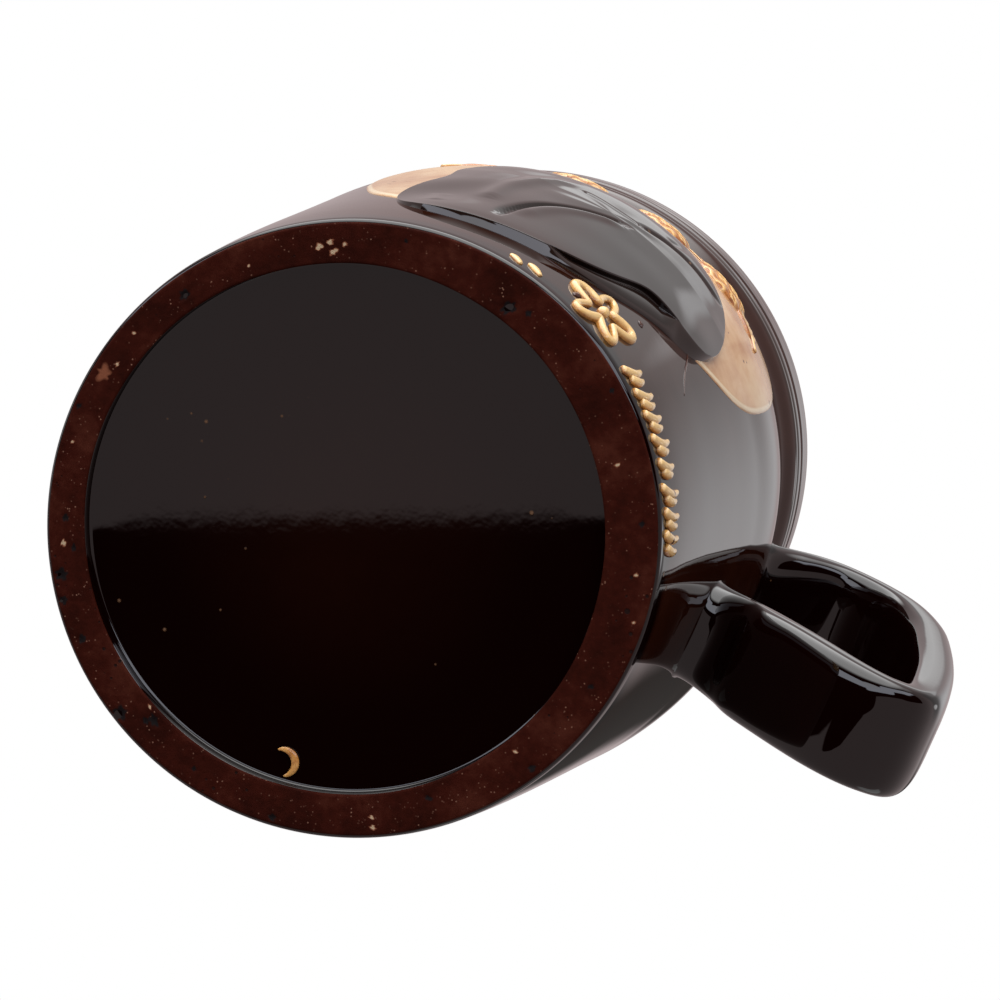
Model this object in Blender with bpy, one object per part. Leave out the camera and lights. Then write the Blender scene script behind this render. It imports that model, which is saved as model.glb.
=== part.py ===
"""A stoneware jug, thrown, moulded and fired as one piece, standing on its foot ring.

The body is a turned shell with a neck, a banded rim, a foot ring and a shallow recess under it. A strap
handle is luted to the wall on the +X side. A moulded relief faces -Y: an oval ground that carries a hop
leaf, three hop cones and two ears of barley. Metres, +Z up, everything in one closed solid.
"""

import math

import bmesh
import bpy
from mathutils import Matrix, Vector

# The turned body: heights are measured from the surface that the jug stands on.
HEIGHT = 0.131
FOOT_RADIUS = 0.043
FOOT_BEVEL = 0.0006
RING_WIDTH = 0.0064
RECESS_DEPTH = 0.003
RECESS_CROWN = 0.0012
# The recess is trimmed a little off the middle, as it is on a pot trimmed by hand.
RECESS_SHIFT = (-0.0010, 0.0004)
WALL_THICKNESS = 0.005
FLOOR_THICKNESS = 0.006
FLOOR_CORNER = 0.008
# Height and radius of the outer wall, from the bevel of the foot to the neck below the rim.
WALL = (
    (FOOT_BEVEL, FOOT_RADIUS),
    (0.034, 0.0449),
    (0.064, 0.0470),
    (0.081, 0.0478),
    (0.097, 0.0463),
    (0.1135, 0.0434),
)
BELLY_RADIUS = WALL[3][1]
NECK_HEIGHT, NECK_RADIUS = WALL[-1]
BAND_HEIGHT = 0.1225
BAND_RADIUS = 0.0463
BAND_EASE = 0.0012
# The flare from the neck out to the band: share of the height, share of the width.
FLARE = ((0.4, 0.1), (0.75, 0.5), (0.92, 0.92))
LIP_RADIUS = 0.0022
LIP_FLAT = 0.0012
BODY_SEGMENTS = 60
WALL_STEPS = 12
INNER_STEPS = 6

# The strap handle: its middle line in the XZ plane, from the lower joint round to the upper one.
HANDLE_LINE = (
    (0.0425, 0.0465),
    (0.0495, 0.0420),
    (0.0590, 0.0335),
    (0.0690, 0.0268),
    (0.0762, 0.0262),
    (0.0798, 0.0320),
    (0.0790, 0.0535),
    (0.0764, 0.0735),
    (0.0729, 0.0910),
    (0.0672, 0.1025),
    (0.0580, 0.1058),
    (0.0500, 0.1015),
    (0.0430, 0.0950),
)
STRAP_WIDTH = 0.0162
STRAP_THICKNESS = 0.007
# Powers that square off the section of the strap, across it and through it; 1 would be an ellipse.
STRAP_SQUARENESS = (0.5, 0.7)
JOINT_SWELL = 0.55
JOINT_WIDENING = 0.12
JOINT_REACH = 0.07
HANDLE_RINGS = 30
STRAP_SEGMENTS = 14
# The strap's ends are cut back inside the wall, to this share of its thickness, between these heights.
ROOT_REACH = 1 / 3
ROOT_HEIGHTS = (0.020, 0.112)

# The relief: its middle is turned a little from -Y towards the handle, and lengths run along the wall.
RELIEF_TURN = math.radians(7.0)
RELIEF_MIDDLE = 0.073
GROUND_HALF = (0.038, 0.034)
GROUND_RISE = 0.0009
GROUND_EDGE = 0.55
GROUND_GRID = (20, 18)
LEAF_ROOT = (0.002, 0.059)
# Direction in degrees from the right, length and half width of each lobe of the leaf.
LEAF_LOBES = (
    (220.0, 0.037, 0.0130),
    (274.0, 0.029, 0.0125),
    (334.0, 0.031, 0.0130),
    (44.0, 0.026, 0.0105),
    (128.0, 0.026, 0.0110),
)
LEAF_HALF = (0.024, 0.022)
LEAF_EDGE = 0.0018
LEAF_SWELL = 0.0018
LEAF_THINNING = 0.45
LEAF_GRID = (12, 12)
LOBE_GRID = (10, 6)
TEETH = 3
TOOTH_SHARE = 0.07
LOBE_BEND = 0.06
RIB_DEPTH = 0.0007
RIB_WIDTH = 0.16
# Middle of each hop cone, and how far it leans from upright in degrees.
CONES = ((-0.0130, 0.0875, 22.0), (0.0030, 0.0940, 0.0), (0.0185, 0.0870, -22.0))
CONE_HALF = (0.0060, 0.0085)
CONE_RISE = 0.0014
CONE_TAPER = 0.25
CONE_SCALES = 0.12
CONE_GRID = (6, 8)
EAR_REACH = 0.0330
EAR_START = math.radians(12.0)
EAR_SPAN = math.radians(44.0)
EAR_HALF_WIDTH = 0.0026
EAR_RISE = 0.0010
EAR_GRAINS = 7
EAR_TAPER = 0.35
EAR_GRID = (14, 2)
# How deep each patch reaches into the wall, and how much deeper the next one does.
PATCH_SINK = 0.0010
PATCH_SINK_STEP = 0.0001


def through(stations, x):
    """Smooth value at x of the curve through (x, y) stations, by cubic Hermite pieces with mean slopes."""
    last = len(stations) - 1
    slopes = []
    for i in range(last + 1):
        before, after = stations[max(i - 1, 0)], stations[min(i + 1, last)]
        slopes.append((after[1] - before[1]) / (after[0] - before[0]))
    i = next((k for k in range(last) if x <= stations[k + 1][0]), last - 1)
    (x0, y0), (x1, y1) = stations[i], stations[i + 1]
    t = (x - x0) / (x1 - x0)
    rise = 3 * t**2 - 2 * t**3
    lead = (t**3 - 2 * t**2 + t) * slopes[i] + (t**3 - t**2) * slopes[i + 1]
    return y0 + (y1 - y0) * rise + (x1 - x0) * lead


def wall_radius(z):
    """Outer radius of the body below the rim."""
    return through(WALL, z)


def evenly(start, end, steps):
    """Values from start to end, both included."""
    return [start + (end - start) * k / steps for k in range(steps + 1)]


def arc(centre, radius, start, end, steps):
    """Points of a circular arc in the profile plane, both ends included; angles in degrees."""
    turns = [math.radians(angle) for angle in evenly(start, end, steps)]
    return [(centre[0] + radius * math.cos(a), centre[1] + radius * math.sin(a)) for a in turns]


def body_profile():
    """Half section of the body as (radius, height), from the middle of the underside to the inner floor."""
    ring_inner = FOOT_RADIUS - RING_WIDTH
    recess_edge = ring_inner - RECESS_DEPTH
    crown = [
        (recess_edge * k / 4, RECESS_DEPTH + RECESS_CROWN * (1 - (k / 4) ** 2))
        for k in range(4)
    ]
    cove = arc((recess_edge, 0), RECESS_DEPTH, 90, 0, 4)
    foot = [(FOOT_RADIUS - FOOT_BEVEL, 0), (FOOT_RADIUS, FOOT_BEVEL)]
    heights = evenly(FOOT_BEVEL, NECK_HEIGHT, WALL_STEPS)[1:]
    wall = [(wall_radius(z), z) for z in heights]
    flare = [
        (NECK_RADIUS + (BAND_RADIUS - NECK_RADIUS) * out, NECK_HEIGHT + (BAND_HEIGHT - NECK_HEIGHT) * up)
        for up, out in FLARE
    ]
    band = [(BAND_RADIUS, BAND_HEIGHT + BAND_EASE)]
    lip_height = HEIGHT - LIP_RADIUS
    outer_lip = arc((BAND_RADIUS - LIP_RADIUS, lip_height), LIP_RADIUS, 0, 90, 3)
    inner_lip = arc((BAND_RADIUS - LIP_RADIUS - LIP_FLAT, lip_height), LIP_RADIUS, 90, 180, 3)
    floor_height = RECESS_DEPTH + RECESS_CROWN + FLOOR_THICKNESS
    lowest = floor_height + FLOOR_CORNER
    inner = [(wall_radius(z) - WALL_THICKNESS, z) for z in evenly(NECK_HEIGHT, lowest, INNER_STEPS)]
    corner = arc((inner[-1][0] - FLOOR_CORNER, lowest), FLOOR_CORNER, 0, -90, 4)
    outside = crown + cove + foot + wall + flare + band
    return outside + outer_lip + inner_lip + inner + corner[1:] + [(0.0, floor_height)]


def solid_object(name, bm):
    """A mesh object made of a closed bmesh, with its faces turned outwards."""
    bmesh.ops.remove_doubles(bm, verts=bm.verts, dist=1e-6)
    bmesh.ops.recalc_face_normals(bm, faces=bm.faces)
    mesh = bpy.data.meshes.new(name)
    bm.to_mesh(mesh)
    bm.free()
    made = bpy.data.objects.new(name, mesh)
    bpy.context.collection.objects.link(made)
    return made


def spun(name, profile):
    """A solid of revolution about the Z axis from its half section."""
    bm = bmesh.new()
    points = [bm.verts.new((r, 0, z)) for r, z in profile]
    edges = [bm.edges.new(pair) for pair in zip(points, points[1:])]
    bmesh.ops.spin(
        bm, geom=points + edges, cent=(0, 0, 0), axis=(0, 0, 1),
        angle=math.tau, steps=BODY_SEGMENTS, use_merge=True,
    )
    return solid_object(name, bm)


def turned_body():
    """The shell of the jug, with its recess moved off the middle of the foot ring."""
    jug = spun("jug", body_profile())
    ring_middle = FOOT_RADIUS - RING_WIDTH / 2
    for vertex in jug.data.vertices:
        under = vertex.co.z < RECESS_DEPTH + RECESS_CROWN + FLOOR_THICKNESS / 2
        if under and math.hypot(vertex.co.x, vertex.co.y) < ring_middle:
            vertex.co.x += RECESS_SHIFT[0]
            vertex.co.y += RECESS_SHIFT[1]
    return jug


def handle_point(along):
    """Point of the handle's middle line; along runs from 0 to 1 through evenly numbered stations."""
    place = along * (len(HANDLE_LINE) - 1)
    across = [(k, x) for k, (x, z) in enumerate(HANDLE_LINE)]
    upwards = [(k, z) for k, (x, z) in enumerate(HANDLE_LINE)]
    return Vector((through(across, place), 0, through(upwards, place)))


def strap_handle():
    """The strap: a rounded oblong carried along the middle line, thicker where it is luted to the wall."""
    bm = bmesh.new()
    rings = []
    for k in range(HANDLE_RINGS + 1):
        along = k / HANDLE_RINGS
        middle = handle_point(along)
        nudge = 1e-3
        ahead = (handle_point(min(along + nudge, 1)) - handle_point(max(along - nudge, 0))).normalized()
        outward = Vector((ahead.z, 0, -ahead.x))
        from_end = min(along, 1 - along)
        near_end = math.exp(-((from_end / JOINT_REACH) ** 2))
        thick = STRAP_THICKNESS / 2 * (1 + JOINT_SWELL * near_end)
        half = STRAP_WIDTH / 2 * (1 + JOINT_WIDENING * near_end**0.5)
        ring = []
        for j in range(STRAP_SEGMENTS):
            turn = math.tau * (j + 0.5) / STRAP_SEGMENTS
            side = half * math.copysign(abs(math.cos(turn)) ** STRAP_SQUARENESS[0], math.cos(turn))
            depth = thick * math.copysign(abs(math.sin(turn)) ** STRAP_SQUARENESS[1], math.sin(turn))
            ring.append(bm.verts.new(middle + outward * depth + Vector((0, side, 0))))
        rings.append(ring)
    for one, other in zip(rings, rings[1:]):
        for j in range(STRAP_SEGMENTS):
            after = (j + 1) % STRAP_SEGMENTS
            bm.faces.new((one[j], one[after], other[after], other[j]))
    bm.faces.new(rings[0])
    bm.faces.new(rings[-1])
    return solid_object("strap", bm)


def on_wall(along, z, rise):
    """Point that stands rise above the wall, at a length along it from the middle of the relief."""
    turn = RELIEF_TURN + along / BELLY_RADIUS
    radius = wall_radius(z) + rise
    return Vector((radius * math.sin(turn), -radius * math.cos(turn), z))


def raised_patch(name, surface, grid, sink):
    """A solid laid on the wall: its top is surface(a, b) for a and b from -1 to 1, its base is in the clay."""
    bm = bmesh.new()
    across, up = grid
    top, base = [], []
    for i in range(across + 1):
        top.append([])
        base.append([])
        for j in range(up + 1):
            along, z, rise = surface(2 * i / across - 1, 2 * j / up - 1)
            top[i].append(bm.verts.new(on_wall(along, z, rise)))
            base[i].append(bm.verts.new(on_wall(along, z, -sink)))
    for i in range(across):
        for j in range(up):
            for sheet in (top, base):
                bm.faces.new((sheet[i][j], sheet[i + 1][j], sheet[i + 1][j + 1], sheet[i][j + 1]))
    border = [(i, 0) for i in range(across)] + [(across, j) for j in range(up)]
    border += [(i, up) for i in range(across, 0, -1)] + [(0, j) for j in range(up, 0, -1)]
    for (i, j), (m, n) in zip(border, border[1:] + border[:1]):
        bm.faces.new((top[i][j], top[m][n], base[m][n], base[i][j]))
    return solid_object(name, bm)


def disc(a, b):
    """The square from -1 to 1 drawn in to a disc, so that its border becomes the circle."""
    return a * math.sqrt(1 - b * b / 2), b * math.sqrt(1 - a * a / 2)


def ground(a, b):
    """The oval ground of the relief, a low pad with a soft edge."""
    x, y = disc(a, b)
    away = x * x + y * y
    rise = GROUND_RISE * (GROUND_EDGE + (1 - GROUND_EDGE) * math.sqrt(max(0.0, 1 - away**3)))
    return x * GROUND_HALF[0], RELIEF_MIDDLE + y * GROUND_HALF[1], rise


def thinned(z):
    """Share of its full thickness that the leaf keeps at a height: it lies flatter towards the top."""
    return 1 - LEAF_THINNING * min(1.0, max(0.0, (z - LEAF_ROOT[1] + LEAF_HALF[1]) / (2 * LEAF_HALF[1])))


def leaf_blade(a, b):
    """The middle of the hop leaf, a broad low swelling that its lobes grow out of."""
    x, y = disc(a, b)
    z = LEAF_ROOT[1] + y * LEAF_HALF[1]
    crown = math.sqrt(max(0.0, 1 - x * x - y * y))
    return LEAF_ROOT[0] + x * LEAF_HALF[0], z, thinned(z) * (LEAF_EDGE + 0.5 * LEAF_SWELL * crown)


def leaf_lobe(direction, length, half_width):
    """One lobe of the hop leaf: a swelling blade with a groove along its rib and a toothed outline."""
    heading = math.radians(direction)

    def surface(a, b):
        out = (a + 1) / 2
        breadth = math.sin(math.pi * (0.10 + 0.84 * out) ** 1.15) ** 0.7
        teeth = 1 + TOOTH_SHARE * math.cos(TEETH * math.tau * out)
        side = b * half_width * breadth * teeth
        bend = LOBE_BEND * length * math.sin(math.pi * out)
        x = LEAF_ROOT[0] + length * out * math.cos(heading) - (side + bend) * math.sin(heading)
        z = LEAF_ROOT[1] + length * out * math.sin(heading) + (side + bend) * math.cos(heading)
        crown = math.sqrt(max(0.0, 1 - b * b)) * math.sin(math.pi * (0.15 + 0.75 * out))
        groove = RIB_DEPTH * math.exp(-((b / RIB_WIDTH) ** 2))
        return x, z, thinned(z) * (LEAF_EDGE + LEAF_SWELL * crown - groove)

    return surface


def cone(along, z, lean):
    """One hop cone: a pointed egg shape with three rows of overlapping scales."""
    tilt = math.radians(lean)

    def surface(a, b):
        x, y = disc(a, b)
        taper = 1 - CONE_TAPER * y
        side, rise = x * CONE_HALF[0] * taper, y * CONE_HALF[1]
        dome = math.sqrt(max(0.0, 1 - x * x - y * y))
        scales = 1 + CONE_SCALES * math.cos(2.5 * math.pi * y)
        return (
            along + side * math.cos(tilt) - rise * math.sin(tilt),
            z + side * math.sin(tilt) + rise * math.cos(tilt),
            GROUND_RISE + CONE_RISE * dome * scales,
        )

    return surface


def ear(hand):
    """One ear of barley: a string of grains that follows the oval ground; hand is 1 right, -1 left."""

    def surface(a, b):
        turn = EAR_START + EAR_SPAN * (a + 1) / 2
        plump = 0.72 + 0.28 * abs(math.cos(EAR_GRAINS * math.pi * (a + 1) / 2))
        taper = 1 - EAR_TAPER * (a + 1) / 2
        reach = EAR_REACH + b * EAR_HALF_WIDTH * taper * plump
        height = RELIEF_MIDDLE + reach * GROUND_HALF[1] / GROUND_HALF[0] * math.sin(turn)
        crown = math.sqrt(max(0.0, 1 - b * b))
        return hand * reach * math.cos(turn), height, GROUND_RISE + EAR_RISE * (0.3 + 0.7 * crown * plump)

    return surface


def relief_parts():
    """Every raised patch of the relief, each sunk a little deeper than the one before."""
    parts = [("ground", ground, GROUND_GRID), ("blade", leaf_blade, LEAF_GRID)]
    parts += [(f"lobe_{k}", leaf_lobe(*lobe), LOBE_GRID) for k, lobe in enumerate(LEAF_LOBES)]
    parts += [(f"cone_{k}", cone(*place), CONE_GRID) for k, place in enumerate(CONES)]
    parts += [(f"ear_{k}", ear(hand), EAR_GRID) for k, hand in enumerate((-1, 1))]
    return [
        raised_patch(name, surface, grid, PATCH_SINK + PATCH_SINK_STEP * k)
        for k, (name, surface, grid) in enumerate(parts)
    ]


def cut_handle_roots(strap):
    """Takes off what of the strap would reach into the hollow of the jug."""
    reach = WALL_THICKNESS * ROOT_REACH
    heights = evenly(*ROOT_HEIGHTS, WALL_STEPS)
    core = [(0.0, heights[0])] + [(wall_radius(z) - reach, z) for z in heights] + [(0.0, heights[-1])]
    join(strap, spun("core", core), "DIFFERENCE")


def join(target, other, operation="UNION"):
    """Applies one exact Boolean to the target and removes the other object."""
    step = target.modifiers.new(other.name, "BOOLEAN")
    step.operation = operation
    step.solver = "EXACT"
    step.object = other
    step.use_self = True
    bpy.context.view_layer.update()
    evaluated = target.evaluated_get(bpy.context.evaluated_depsgraph_get())
    result = bpy.data.meshes.new_from_object(evaluated)
    target.modifiers.clear()
    spare = target.data
    target.data = result
    bpy.data.meshes.remove(spare)
    bpy.data.objects.remove(other)


def centre_on_floor(made):
    """Moves the mesh so that the middle of its box's underside is at the origin."""
    corners = [vertex.co for vertex in made.data.vertices]
    low = [min(c[k] for c in corners) for k in range(3)]
    high = [max(c[k] for c in corners) for k in range(3)]
    shift = Vector((-(low[0] + high[0]) / 2, -(low[1] + high[1]) / 2, -low[2]))
    made.data.transform(Matrix.Translation(shift))


def glaze():
    """The dark brown, glossy glaze that covers the jug."""
    material = bpy.data.materials.new("dark_glaze")
    material.use_nodes = True
    shader = material.node_tree.nodes["Principled BSDF"]
    shader.inputs["Base Color"].default_value = (0.018, 0.009, 0.007, 1)
    shader.inputs["Roughness"].default_value = 0.12
    shader.inputs["Metallic"].default_value = 0.0
    return material


for leftover in list(bpy.data.objects):
    bpy.data.objects.remove(leftover)

jug = turned_body()
strap = strap_handle()
cut_handle_roots(strap)
join(jug, strap)
for patch in relief_parts():
    join(jug, patch)
centre_on_floor(jug)
jug.data.materials.clear()
jug.data.materials.append(glaze())
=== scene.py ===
"""A dark glazed stoneware beer jug, made in the order in which a pottery makes it.

The body is thrown, its foot is trimmed and wiped bare, the strap handle is luted on, the moulded hop relief
is laid on a slip ground, and the slip strokes are trailed last. The studio and the camera come at the end.
"""

import math

import bpy
import numpy as np
from mathutils import Matrix, Vector


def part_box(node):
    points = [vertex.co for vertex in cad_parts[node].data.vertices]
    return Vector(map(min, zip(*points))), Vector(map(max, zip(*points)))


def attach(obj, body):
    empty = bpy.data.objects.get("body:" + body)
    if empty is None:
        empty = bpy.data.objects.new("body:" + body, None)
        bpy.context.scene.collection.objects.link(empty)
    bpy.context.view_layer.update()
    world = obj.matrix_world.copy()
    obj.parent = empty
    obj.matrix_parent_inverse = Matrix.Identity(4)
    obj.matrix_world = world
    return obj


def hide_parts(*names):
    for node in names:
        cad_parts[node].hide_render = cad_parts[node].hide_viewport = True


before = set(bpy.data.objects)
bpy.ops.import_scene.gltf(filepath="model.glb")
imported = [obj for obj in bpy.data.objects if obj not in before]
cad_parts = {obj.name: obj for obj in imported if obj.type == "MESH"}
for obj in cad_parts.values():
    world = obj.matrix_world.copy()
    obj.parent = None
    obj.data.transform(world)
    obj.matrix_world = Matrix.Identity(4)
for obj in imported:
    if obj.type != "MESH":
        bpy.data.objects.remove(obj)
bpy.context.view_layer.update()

# ---------------------------------------------------------------------------------------------------------
# The thrown body: one turned shell of stoneware clay, from the recess under the foot, up the wall and over
# the banded rim, to the floor inside. It is dipped in a dark brown iron glaze that pools black where it is
# thick and breaks to red-brown over edges.
# ---------------------------------------------------------------------------------------------------------

low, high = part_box("jug")
JUG_HEIGHT = 131.0
BELLY_RADIUS = 47.8
# Every length below is in parts of which the jug is 131 high, which makes a part one millimetre.
PART = (high.z - low.z) / JUG_HEIGHT
# The axis of the body stands one belly radius in from two sides of the jug's box.
AXIS = np.array([low.x + BELLY_RADIUS * PART, high.y - BELLY_RADIUS * PART, low.z])

FOOT_RADIUS = 43.0
FOOT_RISE = 0.35
RING_INNER = 36.6
# The recess: its depth at the ring, how much deeper it is in the middle, how far its middle lies off the
# axis towards the handle and the back, and the width across the ring over which that shift fades out.
RECESS_DEPTH = 3.0
RECESS_CROWN = 1.335
RECESS_SHIFT = (-1.0, 0.4)
RECESS_FADE = 3.5
# The recess curves down towards the ring over the outermost part of it: width and depth of that.
DISH = (7.0, 0.3)
# The groove that the trimming tool left in the recess: radius, width and depth.
TRIM_MARK = (28.2, 1.6, 0.004)
# Outer side, from the foot over the belly and in to the neck, then out to the band under the rim.
WALL_HEIGHTS = (
    0.6, 12.0, 24.0, 36.0, 50.0, 64.0, 81.0, 97.0, 105.5, 110.3, 112.6, 115.2, 117.5, 124.0, 128.8,
)
WALL_RADII = (
    43.0, 43.9, 44.7, 45.4, 46.2, 47.0, BELLY_RADIUS, 46.4, 44.9, 44.1, 44.5, 45.9, 46.35, 46.45, 46.3,
)
# Grooves turned in the band: height, width and depth.
BAND_GROOVES = ((120.8, 0.55, 0.45), (117.2, 0.5, 0.10), (126.0, 0.7, 0.08))
# Inner side, from the floor's corner up to the lip.
HOLLOW_HEIGHTS = (18.2, 34.0, 64.0, 81.0, 97.0, 113.5, 128.8)
HOLLOW_RADII = (39.0, 39.9, 42.0, 42.8, 41.3, 38.8, 40.7)
LIP = 2.2
FLOOR = 10.2
FLOOR_CORNER = 8.0
BODY_SIDES = 256
# The turned circle is drawn a little to an oval: azimuth from the front in degrees, and how far.
OVAL = (42.0, 0.42)
# How far the glaze on the wall has thinned, where 0 is a pool and 1 is a bared edge.
WALL_THINNESS = 0.5


def through(places, values, at):
    """Smooth curve through the given values.

    Between two neighbours it is the cubic that has their values and, at each, the slope of the line between
    the stations on either side of it.
    """
    places, values = np.asarray(places, float), np.asarray(values, float)
    before = np.maximum(np.arange(len(places)) - 1, 0)
    after = np.minimum(np.arange(len(places)) + 1, len(places) - 1)
    slopes = (values[after] - values[before]) / (places[after] - places[before])
    k = np.clip(np.searchsorted(places, at) - 1, 0, len(places) - 2)
    span = places[k + 1] - places[k]
    t = (at - places[k]) / span
    rise = 3 * t**2 - 2 * t**3
    lead = (t**3 - 2 * t**2 + t) * slopes[k] + (t**3 - t**2) * slopes[k + 1]
    return values[k] + (values[k + 1] - values[k]) * rise + span * lead


def wall_radius(z):
    """Outer radius of the body at a height below the rim."""
    return through(WALL_HEIGHTS, WALL_RADII, z)


def bell(x, middle, width):
    """A bump of height 1 that falls off on both sides as the Gauss curve does."""
    return np.exp(-(((x - middle) / width) ** 2))


def eased(x):
    """0 below 0, 1 above 1, and the smooth step 3x^2 - 2x^3 between."""
    x = np.clip(x, 0, 1)
    return x * x * (3 - 2 * x)


def waves(x, y, seed, count=6, finest=3.0):
    """Slow unevenness of hand work, from -1 to 1.

    It is the mean of a few sine waves that run in different directions, each with its own phase; x turns
    once round at 2 pi, so every wave meets itself there.
    """
    chance = np.random.default_rng(seed)
    total = 0
    for k in range(count):
        turns = chance.integers(0, 4)
        total = total + np.sin(turns * x + y * chance.uniform(-finest, finest) + chance.uniform(0, math.tau))
    return total / count


def facing_out(points, quads, triangles):
    """The faces of a closed skin, all turned round if the volume that they enclose comes out negative."""
    halves = [triangles, quads[:, [0, 1, 2]], quads[:, [0, 2, 3]]]
    a, b, c = (points[np.concatenate(halves)[:, k]] for k in range(3))
    if np.einsum("ij,ij->i", a, np.cross(b, c)).sum() < 0:
        return quads[:, ::-1], triangles[:, ::-1]
    return quads, triangles


def closed_skin(rings, marks=None, hoop=False):
    """A closed surface through rings of points: an array of rings, points round each ring, and x, y, z.

    Each ring is joined to the next by four-sided faces. The first and last are closed by a fan to their
    middle, or on a hoop joined to each other. marks gives each point a number that its material reads.
    """
    count, around = rings.shape[:2]
    number = np.arange(count * around).reshape(count, around)
    after = np.roll(number, -1, axis=1)
    points = rings.reshape(-1, 3)
    marks = np.zeros(len(points)) if marks is None else np.broadcast_to(marks, rings.shape[:2]).reshape(-1)
    if hoop:
        near, near_after = number, after
        far, far_after = np.roll(number, -1, axis=0), np.roll(after, -1, axis=0)
        triangles = np.zeros((0, 3), int)
    else:
        near, near_after, far, far_after = number[:-1], after[:-1], number[1:], after[1:]
        first, last = np.full(around, len(points)), np.full(around, len(points) + 1)
        triangles = np.concatenate([
            np.stack([first, after[0], number[0]], 1),
            np.stack([last, number[-1], after[-1]], 1),
        ])
        points = np.concatenate([points, rings[:1].mean(1), rings[-1:].mean(1)])
        fans = [marks[:around].mean(keepdims=True), marks[-around:].mean(keepdims=True)]
        marks = np.concatenate([marks, *fans])
    quads = np.stack([near, near_after, far_after, far], -1).reshape(-1, 4)
    quads, triangles = facing_out(points, quads, triangles)
    return {"points": points, "marks": marks, "quads": quads, "triangles": triangles}


def jug_piece(name, skins, material):
    """One object made of closed skins that are given in parts about the jug's axis; it rides on the jug."""
    starts = np.cumsum([0] + [len(skin["points"]) for skin in skins[:-1]])
    points = np.concatenate([skin["points"] for skin in skins]) * PART + AXIS
    quads = np.concatenate([skin["quads"] + start for skin, start in zip(skins, starts)])
    triangles = np.concatenate([skin["triangles"] + start for skin, start in zip(skins, starts)])
    mesh = bpy.data.meshes.new(name)
    mesh.from_pydata(points.tolist(), [], quads.tolist() + triangles.tolist())
    mesh.polygons.foreach_set("use_smooth", np.ones(len(mesh.polygons), bool))
    mark = mesh.attributes.new("mark", "FLOAT", "POINT")
    mark.data.foreach_set("value", np.concatenate([skin["marks"] for skin in skins]).astype(np.float32))
    mesh.materials.append(material)
    made = bpy.data.objects.new(name, mesh)
    bpy.context.scene.collection.objects.link(made)
    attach(made, "root")
    return made


def arc(middle, radii, start, end, steps):
    """Points of an ellipse's arc in the profile plane, both ends included; angles in degrees."""
    turn = np.radians(np.linspace(start, end, steps))
    return np.stack([middle[0] + radii[0] * np.cos(turn), middle[1] + radii[1] * np.sin(turn)], 1)


def profile_of_body():
    """Half section as rows of radius and height, from the middle of the underside to the inner floor."""
    dish_width, dish_depth = DISH
    mark_radius, mark_width, mark_depth = TRIM_MARK
    r = np.linspace(0.6, RING_INNER, 90)
    dished = RECESS_DEPTH + RECESS_CROWN * (1 - (r / RING_INNER) ** 2)
    dished = dished + mark_depth * bell(r, mark_radius, mark_width)
    dished = dished - dish_depth * np.clip((r - RING_INNER) / dish_width + 1, 0, 1) ** 2.5
    underside = np.stack([r, dished], 1)
    drop = [(RING_INNER + 0.02, dished[-1] - 0.25), (RING_INNER + 0.05, FOOT_RISE)]
    bead = arc((FOOT_RADIUS - 0.7, 1.1), (0.7, 1.1 - FOOT_RISE), -90, 0, 8)
    lip_height = JUG_HEIGHT - LIP
    z = np.concatenate([np.linspace(1.3, 105, 78), np.linspace(105.4, lip_height, 60)])
    wall = np.stack([wall_radius(z), z], 1)
    for height, width, depth in BAND_GROOVES:
        wall[:, 0] -= depth * bell(z, height, width)
    outer_lip = arc((WALL_RADII[-1] - LIP, lip_height), (LIP, LIP), 8, 90, 9)
    inner_lip = arc((HOLLOW_RADII[-1] + LIP, lip_height), (LIP, LIP), 90, 180, 9)
    z = np.linspace(lip_height - 0.8, FLOOR + FLOOR_CORNER, 48)
    hollow = np.stack([through(HOLLOW_HEIGHTS, HOLLOW_RADII, z), z], 1)
    corner_middle = (hollow[-1, 0] - FLOOR_CORNER, FLOOR + FLOOR_CORNER)
    corner = arc(corner_middle, (FLOOR_CORNER, FLOOR_CORNER), -6, -90, 12)
    r = np.linspace(corner[-1, 0], 0.6, 16)[1:]
    floor = np.stack([r, FLOOR + 0.8 * bell(r, 0, 9)], 1)
    return np.concatenate([underside, drop, bead, wall, outer_lip, inner_lip, hollow, corner, floor])


def oval_shift(turn, radius):
    """How far the body stands out at an angle from the front, as it is slightly oval outside the recess."""
    return OVAL[1] * np.cos(2 * (turn - math.radians(OVAL[0]))) * eased((radius - RING_INNER) / 6)


def about_axis(radius, turn, height):
    """Points at a radius, an angle from the front and a height, as x, y and z."""
    return np.stack(np.broadcast_arrays(radius * np.sin(turn), -radius * np.cos(turn), height), -1)


def thrown_body():
    """The profile turned about the axis, a little uneven from the hand, with its recess off the middle.

    Each point of the profile is carried round at its radius. The wall swells and dips by a few hundredths
    in slow waves, and the recess moves sideways as a whole, by less and less across the ring.
    """
    profile = profile_of_body()
    turn = np.linspace(0, math.tau, BODY_SIDES, endpoint=False)
    radius, height = profile[:, :1], profile[:, 1:]
    uneven = 0.05 * waves(turn[None, :], height / 14, 3) * eased((height - 3) / 12)
    radius = radius + uneven
    radius = radius + oval_shift(turn, profile[:, :1])
    rings = about_axis(radius, turn, height)
    below = (height < FLOOR - 2) * (1 - eased((profile[:, :1] - RING_INNER) / RECESS_FADE))
    rings[:, :, 0] += RECESS_SHIFT[0] * below
    rings[:, :, 1] += RECESS_SHIFT[1] * below
    outside = np.arange(len(profile))[:, None] < np.argmax(height)
    thin = WALL_THINNESS * outside * eased((height - 3.5) / 3) + bell(height, JUG_HEIGHT, 1.6)
    return closed_skin(rings, thin + 0 * turn)


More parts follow.
